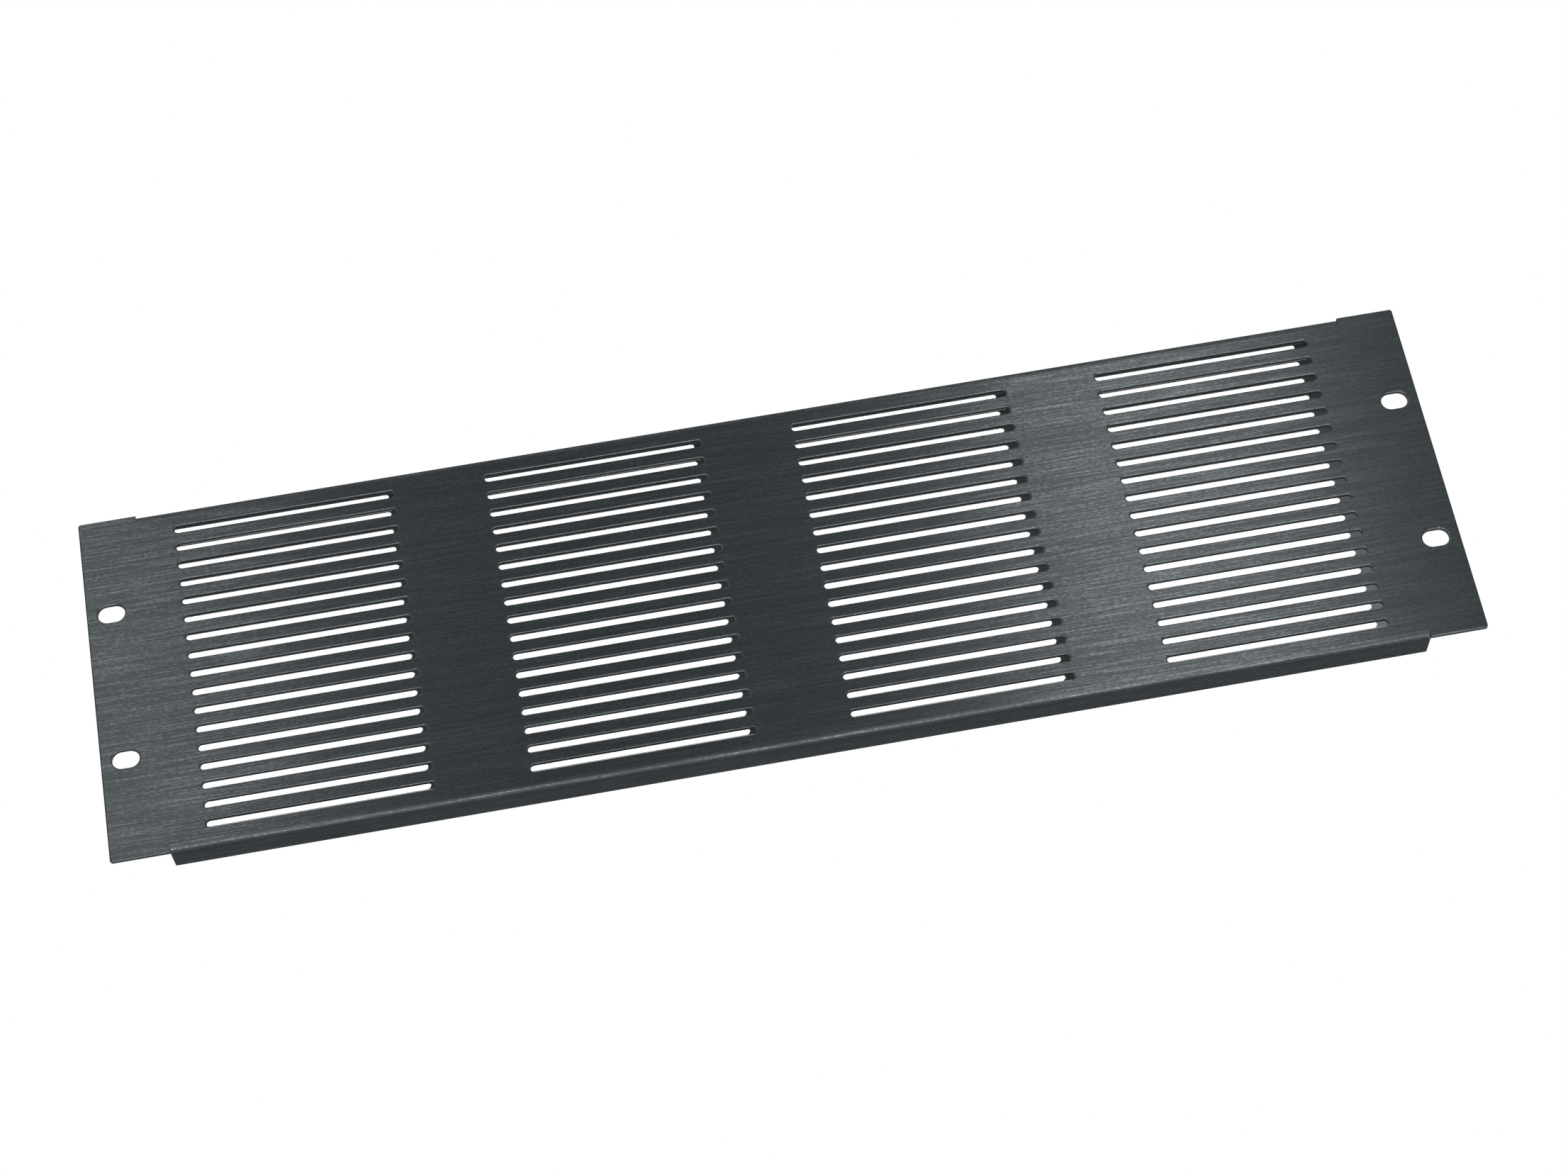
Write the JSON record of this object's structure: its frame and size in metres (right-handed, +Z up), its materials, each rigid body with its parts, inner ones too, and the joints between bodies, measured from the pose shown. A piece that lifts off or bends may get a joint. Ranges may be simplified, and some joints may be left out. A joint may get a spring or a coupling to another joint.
{
  "type": "vented rack blanking panel",
  "caption": "Folded sheet panel that closes an empty space in an equipment rack and lets air through rows of long slots.",
  "frame": {"origin": "centre of the four rack slots, on the back face of the sheet that lies against the rack's rails", "axes": "+X along the rack's width, +Y into the rack (the front faces -Y), +Z up"},
  "size_m": [0.4826, 0.012, 0.1324],
  "materials": {
    "anodised_sheet": "black anodised, brushed along the width"
  },
  "bodies": {
    "root": {"vent_panel": "anodised_sheet"}
  },
  "joints": []
}
